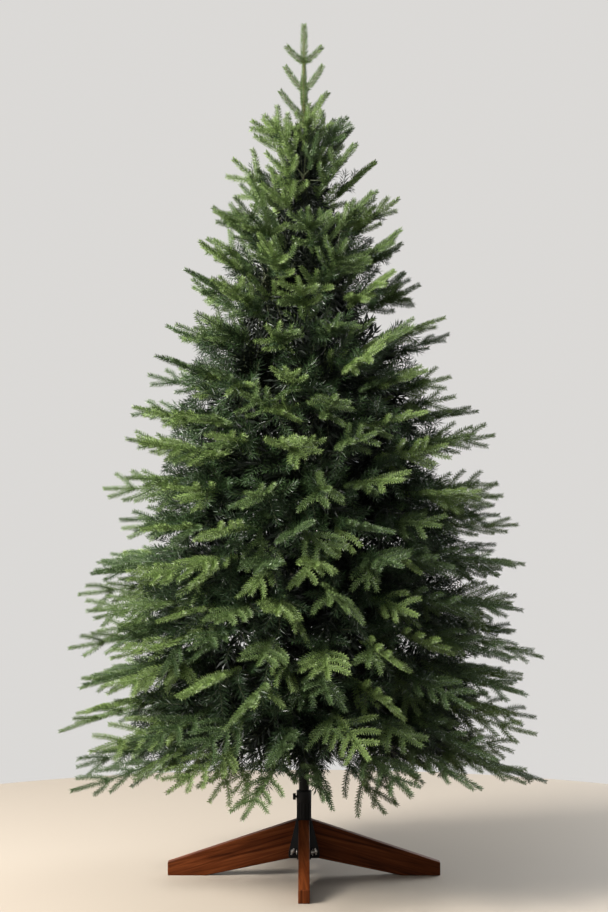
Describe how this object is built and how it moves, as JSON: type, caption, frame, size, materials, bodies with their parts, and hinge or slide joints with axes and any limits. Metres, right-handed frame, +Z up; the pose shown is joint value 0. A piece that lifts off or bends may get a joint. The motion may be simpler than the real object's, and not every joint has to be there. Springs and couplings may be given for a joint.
{
  "type": "artificial christmas tree",
  "caption": "Full-height artificial fir tree without ornaments: dense conical layers of green boughs round a dark steel pole, on a cross-shaped wooden stand.",
  "frame": {"origin": "on the floor under the axis of the pole", "axes": "+Z up along the pole, -Y towards the front leg, +X to the right seen from the front"},
  "size_m": [1.1631, 1.1761, 2.1],
  "materials": {
    "pole": "satin black-green paint",
    "bracket": "satin black powder coat",
    "walnut": "oiled, satin",
    "bolts": "zinc plated",
    "boughs": "wire wrapped in dull green-brown film",
    "needles": "moulded and cut plastic needles, semi-matt",
    "leader": "moulded plastic needles, semi-matt"
  },
  "bodies": {
    "root": {"pole": "pole", "stand_socket": "bracket", "clamp_screw": "bracket", "leg_front": "walnut", "bolt_front": "bolts", "leg_right": "walnut", "bolt_right": "bolts", "leg_back": "walnut", "bolt_back": "bolts", "leg_left": "walnut", "bolt_left": "bolts", "bough_1_1": "boughs", "needles_1_1": "needles", "bough_1_2": "boughs", "needles_1_2": "needles", "bough_1_3": "boughs", "needles_1_3": "needles", "bough_1_4": "boughs", "needles_1_4": "needles", "bough_1_5": "boughs", "needles_1_5": "needles", "bough_2_1": "boughs", "needles_2_1": "needles", "bough_2_2": "boughs", "needles_2_2": "needles", "bough_2_3": "boughs", "needles_2_3": "needles", "bough_2_4": "boughs", "needles_2_4": "needles", "bough_2_5": "boughs", "needles_2_5": "needles", "bough_3_1": "boughs", "needles_3_1": "needles", "bough_3_2": "boughs", "needles_3_2": "needles", "bough_3_3": "boughs", "needles_3_3": "needles", "bough_3_4": "boughs", "needles_3_4": "needles", "bough_3_5": "boughs", "needles_3_5": "needles", "bough_4_1": "boughs", "needles_4_1": "needles", "bough_4_2": "boughs", "needles_4_2": "needles", "bough_4_3": "boughs", "needles_4_3": "needles", "bough_4_4": "boughs", "needles_4_4": "needles", "bough_5_1": "boughs", "needles_5_1": "needles", "bough_5_2": "boughs", "needles_5_2": "needles", "bough_5_3": "boughs", "needles_5_3": "needles", "bough_6_1": "boughs", "needles_6_1": "needles", "bough_6_2": "boughs", "needles_6_2": "needles", "leader": "leader"}
  },
  "joints": []
}
